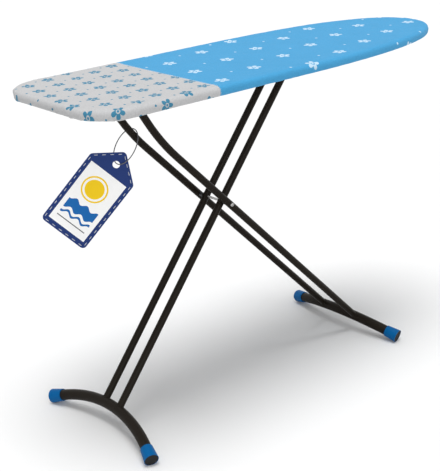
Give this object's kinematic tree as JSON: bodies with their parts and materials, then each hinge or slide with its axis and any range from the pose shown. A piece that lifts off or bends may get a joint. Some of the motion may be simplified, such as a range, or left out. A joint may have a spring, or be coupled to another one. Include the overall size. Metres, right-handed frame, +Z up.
{
  "type": "ironing board",
  "caption": "Free-standing folding ironing board: padded fabric-covered top on crossed black tube legs with arched feet, height lever and hang tag.",
  "frame": {"origin": "on the floor, under the middle of the board's top", "axes": "+X along the board to its nose, +Y to its left side, +Z up"},
  "size_m": [1.2, 0.4336, 0.84],
  "materials": {
    "cover_fabric": "woven cotton, light grey at the square end and sky blue beyond the seam",
    "binding_tape": "woven tape",
    "felt": "needled felt",
    "deck_enamel": "light grey enamel",
    "zinc_steel": "bright zinc plate",
    "spring_steel": "plain spring wire",
    "black_enamel": "satin black powder coat",
    "blue_plastic": "moulded, light sheen",
    "black_rubber": "matt",
    "black_plastic": "moulded, matt",
    "grey_plastic": "soft loop",
    "printed_card": "printed card, light sheen"
  },
  "bodies": {
    "board": {"cover": "cover_fabric", "hem_binding": "binding_tape", "felt_pad": "felt", "deck_panel": "deck_enamel", "rim_frame": "deck_enamel", "cross_rib_1": "deck_enamel", "cross_rib_2": "deck_enamel", "cross_rib_3": "deck_enamel", "pivot_saddle": "zinc_steel", "pivot_rod": "zinc_steel", "pivot_clips": "zinc_steel", "guide_rail_left": "zinc_steel", "guide_rail_right": "zinc_steel", "deck_rivets": "zinc_steel", "lever_clevis": "zinc_steel", "lever_pin": "zinc_steel", "lever_spring": "spring_steel", "lever_keeper": "zinc_steel"},
    "outer_leg": {"outer_leg_tube_left": "black_enamel", "outer_leg_tube_right": "black_enamel", "outer_foot_tube": "black_enamel", "outer_foot_cap_left": "blue_plastic", "outer_foot_cap_right": "blue_plastic", "outer_foot_pad_left": "black_rubber", "outer_foot_pad_right": "black_rubber", "outer_leg_plugs": "black_plastic", "pivot_sleeve": "black_enamel", "cross_rod": "zinc_steel", "cross_rod_caps": "zinc_steel", "cross_spacers": "black_plastic"},
    "inner_leg": {"inner_leg_tube_left": "black_enamel", "inner_leg_tube_right": "black_enamel", "inner_foot_tube": "black_enamel", "inner_foot_cap_left": "blue_plastic", "inner_foot_cap_right": "blue_plastic", "inner_foot_pad_left": "black_rubber", "inner_foot_pad_right": "black_rubber", "inner_leg_plugs": "black_plastic", "slide_bar": "zinc_steel", "slide_glide_left": "black_plastic", "slide_glide_right": "black_plastic", "slide_clips": "zinc_steel"},
    "release_lever": {"height_rack": "zinc_steel", "lever_wire": "zinc_steel", "lever_grip": "blue_plastic"},
    "hang_tag": {"tag_ring": "grey_plastic", "tag_card": "printed_card"}
  },
  "joints": [
    {"name": "outer_leg_fold", "type": "hinge", "parent": "board", "child": "outer_leg", "pos_m": [-0.37963, 0, 0.7933], "axis": [0, -1, 0], "range_deg": [0, 47.3]},
    {"name": "inner_leg_fold", "type": "hinge", "parent": "outer_leg", "child": "inner_leg", "pos_m": [-0.147, 0, 0.50198], "axis": [0, 1, 0], "range_deg": [0, 94.7]},
    {"name": "lever_squeeze", "type": "hinge", "parent": "board", "child": "release_lever", "pos_m": [0.40016, 0, 0.8064], "axis": [0, 1, 0], "range_deg": [0, 1.6], "stiffness_Nm_per_rad": 2, "springref_deg": -5.73},
    {"name": "tag_swing", "type": "hinge", "parent": "outer_leg", "child": "hang_tag", "pos_m": [-0.33344, 0.06, 0.69442], "axis": [0.6347, 0, -0.7728], "range_deg": [0, 30]}
  ],
  "couplings": [
    {"joint": "inner_leg_fold", "follows": "outer_leg_fold", "ratio": 2}
  ]
}
